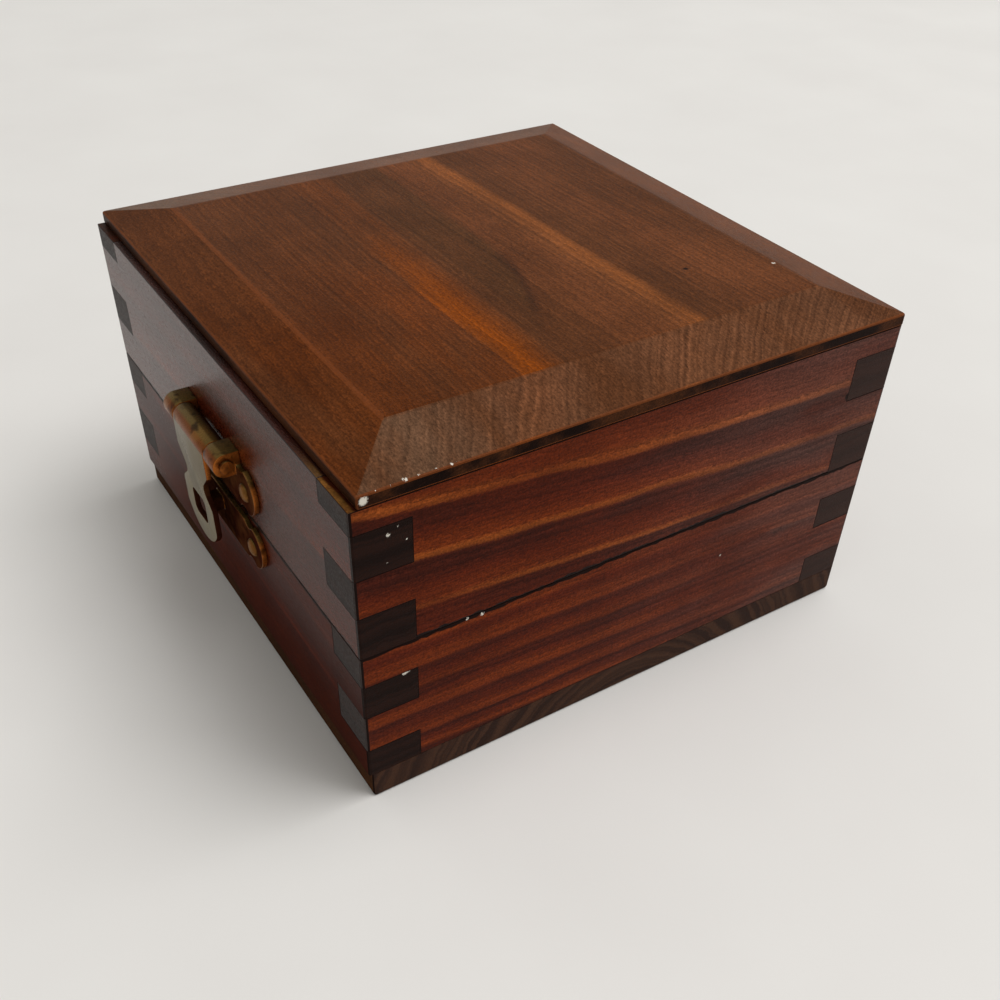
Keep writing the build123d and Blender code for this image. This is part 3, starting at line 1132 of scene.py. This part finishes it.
def shaped(first, steps):
    """The mesh of a blank joined with others or cut by them in turn, its edges eased. It uses them up."""
    for operation, tool in steps:
        change = first.modifiers.new("shape", "BOOLEAN")
        change.operation = operation
        change.object = tool
        change.solver = "EXACT"
    weld = first.modifiers.new("joined corners", "WELD")
    weld.merge_threshold = weld_distance * MM
    ease = first.modifiers.new("eased edges", "BEVEL")
    ease.width = brass_round * MM
    ease.segments = brass_round_segments
    ease.use_clamp_overlap = False
    ease.limit_method = "ANGLE"
    ease.angle_limit = math.radians(brass_sharp_angle)
    evaluated = first.evaluated_get(bpy.context.evaluated_depsgraph_get())
    mesh = bpy.data.meshes.new_from_object(evaluated)
    for spent in (first, *(tool for _, tool in steps)):
        spent_mesh = spent.data
        bpy.data.objects.remove(spent)
        bpy.data.meshes.remove(spent_mesh)
    return mesh


def forged(node, body, first, steps, finishes, chosen=lambda normal, middle: 0):
    """A brass piece shaped from blanks, each of its faces with its chosen finish."""
    mesh = shaped(first, steps)
    mesh.name = f"brass_{node}"
    mesh.polygons.foreach_set("use_smooth", [True] * len(mesh.polygons))
    mesh.set_sharp_from_angle(angle=math.radians(brass_smooth_angle))
    piece = add_object(f"brass_{node}", mesh, finishes[0])
    for finish in finishes[1:]:
        mesh.materials.append(finish)
    for polygon in mesh.polygons:
        polygon.material_index = chosen(polygon.normal, polygon.center / MM)
    settle(piece, body, node)


def scalloped_plate(level, height):
    """A round-ended plate on the front, with the steps that bite its four scallops."""
    plate = blank(block(latch_width, height, (0, level), height / 2), on_front, 0, latch_sheet)
    rise = height / 2 + scallop_radius - scallop_bite
    bites = []
    for side in (-1, 1):
        for end in (-1, 1):
            scallop = circle((side * scallop_reach, level + end * rise), scallop_radius)
            bites.append(("DIFFERENCE", blank(scallop, on_front, cut_back, cut_front)))
    return plate, bites


def on_plate_face(normal, middle):
    """Whether a face is part of a plate's flat front."""
    return normal.y < -front_facing and middle.y > front_face - latch_sheet - tolerance


def latch_plate(brass, dark_painted):
    """Upper plate: scalloped, notched behind the tongue's knuckle, with a housing either side of it."""
    plate, steps = scalloped_plate(seam_level + latch_plate_rise, latch_plate_height)
    notch = block(plate_notch_width, 2 * hasp_out, (0, hasp_level))
    steps.append(("DIFFERENCE", blank(notch, on_front, cut_back, cut_front)))
    axis = (hasp_out, hasp_level)
    housing = [
        (0, hasp_level - hasp_knuckle_radius),
        *arc(axis, hasp_knuckle_radius, -90, 90),
        (0, hasp_level + hasp_knuckle_radius),
    ]
    for side in (-1, 1):
        ends = [side * housing_middle + end * housing_length / 2 for end in (-1, 1)]
        steps.append(("UNION", blank(housing, along_front, *ends)))
    bore = circle(axis, hasp_pin_radius + pin_clearance)
    steps.append(("DIFFERENCE", blank(bore, along_front, -latch_width / 2, latch_width / 2)))

    def chosen(normal, middle):
        # The plate's flat front takes the painted dark
        return int(on_plate_face(normal, middle))

    forged("latch_plate", "lid", plate, steps, (brass, dark_painted), chosen)


def tongue_outline():
    """The tongue seen square on: knuckle, neck, waist, shoulders and a round foot."""
    half_knuckle = tongue_knuckle_length / 2
    half_width = tongue_width / 2
    foot_height = tongue_length - tongue_side_drop
    foot_up = (tongue_side_drop**2 - tongue_length**2 + half_width**2) / (2 * foot_height)
    foot_radius = tongue_length + foot_up
    reach = half_width - tongue_corner_radius
    drop = math.sqrt((foot_radius - tongue_corner_radius) ** 2 - reach**2)
    corner_level = foot_up - drop
    swing = math.degrees(math.atan2(drop, reach))
    half = [
        (half_knuckle, hasp_knuckle_radius, 0),
        (half_knuckle, -tongue_neck_drop, 0),
        (tongue_waist_width / 2, -tongue_waist_drop, tongue_waist_radius),
        (half_width, -tongue_shoulder_drop, tongue_waist_radius),
        (half_width, corner_level, 0),
    ]
    sides = filleted([*half, *((-across, up, radius) for across, up, radius in reversed(half))])
    split = len(sides) // 2
    foot = [
        *arc((reach, corner_level), tongue_corner_radius, 0, -swing)[1:-1],
        *arc((0, foot_up), foot_radius, -swing, swing - 180),
        *arc((-reach, corner_level), tongue_corner_radius, swing - 180, -180)[1:-1],
    ]
    return [(across, hasp_level + up) for across, up in (*sides[:split], *foot, *sides[split:])]


def hasp_tongue(brass, shining, dark_painted):
    """Tongue: one sheet rolled round the pin and hanging from the knuckle's outer side."""
    axis = (hasp_out, hasp_level)
    outer = hasp_out + hasp_knuckle_radius
    inner = outer - tongue_sheet
    join = math.degrees(math.acos((inner - hasp_out) / hasp_knuckle_radius))
    slot_level = hasp_level - slot_drop
    sheet_end = hasp_level - 2 * tongue_length
    rolled = [
        (outer, sheet_end),
        (outer, slot_level),
        *arc(axis, hasp_knuckle_radius, 0, 360 - join),
        (inner, slot_level),
        (inner, sheet_end),
    ]
    sheet = blank(rolled, along_front, -tongue_width, tongue_width)
    bore = circle(axis, hasp_pin_radius + pin_clearance)
    slot = block(slot_width, slot_height, (0, slot_level), slot_corner_radius)
    steps = [
        ("INTERSECT", blank(tongue_outline(), on_front, cut_back, 2 * outer)),
        ("DIFFERENCE", blank(slot, on_front, cut_back, 2 * outer)),
        ("DIFFERENCE", blank(bore, along_front, -tongue_width, tongue_width)),
    ]

    def chosen(normal, middle):
        if middle.z > hasp_level - reflection_drop:
            return 0
        # Below the knuckle the front takes the table's painted reflection, and the other faces the painted
        # dark
        return 1 if normal.y < -front_facing else 2

    forged("hasp_tongue", "hasp", sheet, steps, (brass, shining, dark_painted), chosen)


def catch_plate(brass, dark_painted):
    """Lower plate, with the lug that the tongue's slot drops over."""
    plate, steps = scalloped_plate(seam_level - catch_plate_drop, catch_plate_height)
    lug = block(lug_width, lug_height, (0, hasp_level - slot_drop), lug_corner_radius)
    steps.append(("UNION", blank(lug, on_front, latch_sheet / 2, lug_tip_out)))

    def chosen(normal, middle):
        on_lug = middle.y < front_face - latch_sheet - 2 * brass_round
        # The lug and the plate's flat front take the painted dark
        return int(on_lug or on_plate_face(normal, middle))

    forged("catch_plate", "base", plate, steps, (brass, dark_painted), chosen)


def pin(node, body, middle, place, axis, radius, span, brass):
    """A pin on its axis, upset to a round head at both ends."""
    reach = span / 2 + pin_overhang
    shaft = blank(circle(axis, radius), place, middle - reach, middle + reach)
    head = circle(axis, radius + pin_head_lip)
    steps = [
        ("UNION", blank(head, place, middle + side * reach, middle + side * (reach + pin_head_height)))
        for side in (-1, 1)
    ]
    forged(node, body, shaft, steps, (brass,))


def hasp():
    """The front hasp: two plates, the tongue and its pin."""
    brass = antique_brass(
        "antiqued brass", copper, olive, flame, straw, grime_share=0.8, metal=0.7, back_shade_share=0.9
    )
    shining = table_reflection_brass("rubbed brass")
    dark_painted = dark_reflection_brass("shadowed brass")
    latch_plate(brass, dark_painted)
    hasp_tongue(brass, shining, dark_painted)
    catch_plate(brass, dark_painted)
    latch_span = 2 * housing_middle + housing_length
    pin("latch_pin", "lid", 0, along_front, (hasp_out, hasp_level), hasp_pin_radius, latch_span, brass)


def hinge_leaf(node, body, across, upward, spans, brass):
    """A leaf on the back, with tabs that reach its knuckles on the hinge's axis."""
    half_width = leaf_width / 2
    outline = [(half_width, leaf_height, leaf_corner_radius), (-half_width, leaf_height, leaf_corner_radius)]
    if spans[0][0] > -half_width:
        outline.append((-half_width, knuckle_relief, 0))
    for start, end in spans:
        tab = [(start, knuckle_relief, 0), (start, 0, 0), (end, 0, 0), (end, knuckle_relief, 0)]
        outline += [corner for corner in tab if abs(corner[0]) < half_width or corner[1] == 0]
    if spans[-1][1] < half_width:
        outline.append((half_width, knuckle_relief, 0))
    sheet = filleted([(across + along, seam_level + upward * up, radius) for along, up, radius in outline])
    axis = (hinge_out, seam_level)
    knuckle = circle(axis, hinge_knuckle_radius)
    bore = circle(axis, hinge_pin_radius + pin_clearance)
    steps = [("UNION", blank(knuckle, along_back, across + start, across + end)) for start, end in spans]
    steps.append(("DIFFERENCE", blank(bore, along_back, across - leaf_width, across + leaf_width)))
    forged(node, body, blank(sheet, on_back, 0, leaf_sheet), steps, (brass,))


def hinges(brass):
    """Two butt hinges on the back: the lid's leaf has the middle knuckle, the base's leaf the outer two."""
    half_width = leaf_width / 2
    axis = (hinge_out, seam_level)
    lid_spans = [(-lid_knuckle_end, lid_knuckle_end)]
    base_spans = [(-half_width, -base_knuckle_start), (base_knuckle_start, half_width)]
    for name, across in (("left", -hinge_reach), ("right", hinge_reach)):
        hinge_leaf(f"{name}_hinge_lid_leaf", "lid", across, 1, lid_spans, brass)
        hinge_leaf(f"{name}_hinge_base_leaf", "base", across, -1, base_spans, brass)
        pin(f"{name}_hinge_pin", "base", across, along_back, axis, hinge_pin_radius, leaf_width, brass)


def brad_inputs(tree):
    """The tree's named inputs and their identifiers. What has no size here is set for each group of brads."""
    identifiers = {}
    for name, kind, length in (
        ("Places", "NodeSocketGeometry", None),
        ("Head Radius", "NodeSocketFloat", None),
        ("Head Height", "NodeSocketFloat", brad_head_height),
        ("Shank Radius", "NodeSocketFloat", brad_shank_radius),
        ("Shank Length", "NodeSocketFloat", brad_length),
        ("Outward", "NodeSocketVector", None),
        ("Brass", "NodeSocketMaterial", None),
    ):
        socket = tree.interface.new_socket(name, in_out="INPUT", socket_type=kind)
        if length is not None:
            socket.default_value = length * MM
        identifiers[name] = socket.identifier
    return identifiers


def brad_head(tree, sizes):
    """A ball pressed to a dome: its lower half lies almost flat, as the seat of the head."""

    def calculate(operation, first, second):
        return add_node(tree, "ShaderNodeMath", {0: first, 1: second}, operation=operation).outputs[0]

    ball = {"Segments": brad_head_sides, "Rings": brad_head_rings, "Radius": 1.0}
    dome = add_node(tree, "GeometryNodeMeshUVSphere", ball).outputs["Mesh"]
    position = add_node(tree, "GeometryNodeInputPosition", {}).outputs[0]
    x, y, z = add_node(tree, "ShaderNodeSeparateXYZ", {0: position}).outputs
    seat = calculate("MULTIPLY", z, brad_seat_share)
    below = calculate("LESS_THAN", z, 0.0)
    level = calculate("MAXIMUM", z, seat)
    pressed = add_node(tree, "ShaderNodeMix", {0: below, 2: level, 3: seat}, data_type="FLOAT").outputs[0]
    place = {
        "X": calculate("MULTIPLY", x, sizes["Head Radius"]),
        "Y": calculate("MULTIPLY", y, sizes["Head Radius"]),
        "Z": calculate("MULTIPLY", pressed, sizes["Head Height"]),
    }
    shape = add_node(tree, "ShaderNodeCombineXYZ", place).outputs[0]
    head = add_node(tree, "GeometryNodeSetPosition", {"Geometry": dome, "Position": shape}).outputs[0]
    return add_node(tree, "GeometryNodeSetShadeSmooth", {"Geometry": head, "Shade Smooth": True}).outputs[0]


def brad_shank(tree, sizes):
    """A straight rod that hangs from the head's seat."""
    rod = {"Vertices": brad_head_sides // 2, "Radius": sizes["Shank Radius"], "Depth": sizes["Shank Length"]}
    shank = add_node(tree, "GeometryNodeMeshCylinder", rod).outputs["Mesh"]
    halved = {0: sizes["Shank Length"], 1: -0.5}
    middle = add_node(tree, "ShaderNodeMath", halved, operation="MULTIPLY").outputs[0]
    lowered = add_node(tree, "ShaderNodeCombineXYZ", {"Z": middle}).outputs[0]
    return add_node(tree, "GeometryNodeTransform", {"Geometry": shank, "Translation": lowered}).outputs[0]


def brad_tree():
    """Brads on a set of points: a domed head on a straight shank, turned to look outwards."""
    tree = bpy.data.node_groups.new("domed brads", "GeometryNodeTree")
    identifiers = brad_inputs(tree)
    tree.interface.new_socket("Brads", in_out="OUTPUT", socket_type="NodeSocketGeometry")
    sizes = add_node(tree, "NodeGroupInput", {}).outputs
    brad = add_node(tree, "GeometryNodeJoinGeometry", {})
    for part in (brad_head(tree, sizes), brad_shank(tree, sizes)):
        tree.links.new(part, brad.inputs[0])
    turn = add_node(
        tree, "FunctionNodeAlignRotationToVector", {"Vector": sizes["Outward"]}, axis="Z"
    ).outputs[0]
    row = {"Points": sizes["Places"], "Instance": brad.outputs[0], "Rotation": turn}
    spread = add_node(tree, "GeometryNodeInstanceOnPoints", row).outputs[0]
    solid = add_node(tree, "GeometryNodeRealizeInstances", {"Geometry": spread}).outputs[0]
    coloured = {"Geometry": solid, "Material": sizes["Brass"]}
    add_node(tree, "NodeGroupOutput", {0: add_node(tree, "GeometryNodeSetMaterial", coloured).outputs[0]})
    return tree, identifiers


def brads(node, body, columns, outward, tree, identifiers, material):
    """Brads in their columns, at the node's own height, with their heads seated on their sheet."""
    low, high = (Vector(corner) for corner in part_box(node))
    level = (low.z + high.z) / 2
    face = low.y + brad_head_height * MM if outward < 0 else high.y - brad_head_height * MM
    mesh = bpy.data.meshes.new(f"domed_{node}")
    mesh.from_pydata([(column * MM, face, level) for column in columns], [], [])
    piece = add_object(f"domed_{node}", mesh, material)
    modifier = piece.modifiers.new("brads", "NODES")
    modifier.node_group = tree
    modifier[identifiers["Head Radius"]] = (high.z - low.z) / 2
    modifier[identifiers["Outward"]] = (0.0, float(outward), 0.0)
    modifier[identifiers["Brass"]] = material
    work_in(piece)
    settle(piece, body, node)


def all_brads(hinge_brass):
    """The brads of the hasp's plates and of the hinges."""
    dull = antique_brass("dull brass", tawny, olive, tawny, straw, grime_share=0.6, metal=0.4)
    tree, identifiers = brad_tree()
    latch_columns = (-latch_brad_reach, latch_brad_reach)
    hinge_columns = [
        side * hinge_reach + spread * hinge_brad_spread for side in (-1, 1) for spread in (-1, 1)
    ]
    for node, body, columns, outward, brass in (
        ("latch_plate_brads", "lid", latch_columns, -1, dull),
        ("catch_plate_brads", "base", latch_columns, -1, dull),
        ("hinge_lid_brads", "lid", hinge_columns, 1, hinge_brass),
        ("hinge_base_brads", "base", hinge_columns, 1, hinge_brass),
    ):
        brads(node, body, columns, outward, tree, identifiers, brass)


def table_top():
    """A pale table, matt, with a faint mottle."""
    paint = Finish("pale table")
    point = paint.point()[0]
    mottle = paint.cloud(point, scale=0.02, detail=3.0, roughness=0.5)
    grain = paint.cloud(point, scale=1.4, detail=2.0, roughness=0.5)
    paint.shade(
        Base_Color=paint.mix(mottle, table_shade, table_light),
        Roughness=paint.swing(grain, middle=0.55, reach=0.05),
        Normal=paint.bump(grain, strength=0.06, distance=0.1),
    )
    mesh = bpy.data.meshes.new("table_top")
    reach = table_reach * MM
    places = [(-reach, -reach, 0), (reach, -reach, 0), (reach, reach, 0), (-reach, reach, 0)]
    mesh.from_pydata(places, [], [(0, 1, 2, 3)])
    add_object("table_top", mesh, paint.material)


def pale_room():
    """Even light from all round, a little brighter where it is seen or mirrored."""
    world = bpy.data.worlds.new("pale room")
    bpy.context.scene.world = world
    world.use_nodes = True
    tree = world.node_tree
    ray = add_node(tree, "ShaderNodeLightPath", {}).outputs
    seen_rays = {0: ray["Is Camera Ray"], 1: ray["Is Glossy Ray"]}
    seen = add_node(tree, "ShaderNodeMath", seen_rays, operation="MAXIMUM").outputs[0]
    levels = {"Value": seen, "To Min": room_light, "To Max": room_seen}
    strength = add_node(tree, "ShaderNodeMapRange", levels).outputs[0]
    sky = tree.nodes["Background"]
    feed(tree, sky.inputs["Color"], room_white)
    feed(tree, sky.inputs["Strength"], strength)


def soft_window():
    """One large soft lamp, high behind the box and to its right."""
    light = bpy.data.lights.new("window", "AREA")
    light.shape = "SQUARE"
    light.size = window_size * MM
    light.energy = window_power
    lamp = bpy.data.objects.new("window", light)
    lamp.location = Vector(window_place) * MM
    lamp.rotation_euler = (Vector(window_aim) - Vector(window_place)).to_track_quat("-Z", "Y").to_euler()
    bpy.context.scene.collection.objects.link(lamp)


def photo_camera():
    """The photograph's view."""
    camera = bpy.data.cameras.new("photo view")
    camera.sensor_width = camera_sensor
    camera.sensor_fit = "HORIZONTAL"
    camera.lens = camera_lens
    camera.shift_x, camera.shift_y = camera_shift
    camera.clip_start = camera_near * MM
    viewer = bpy.data.objects.new("photo view", camera)
    viewer.location = Vector(camera_place) * MM
    viewer.rotation_euler = Euler([math.radians(angle) for angle in camera_turn], "XYZ")
    bpy.context.scene.collection.objects.link(viewer)
    bpy.context.scene.camera = viewer


side_boards()
long_boards()
top_panel()
bottom_board()
hasp()
plain_brass = antique_brass("plain brass", bronze, moss, ginger, wheat, grime_share=0.55)
hinges(plain_brass)
all_brads(plain_brass)

bpy.context.scene.view_settings.view_transform = "Standard"
table_top()
pale_room()
soft_window()
photo_camera()
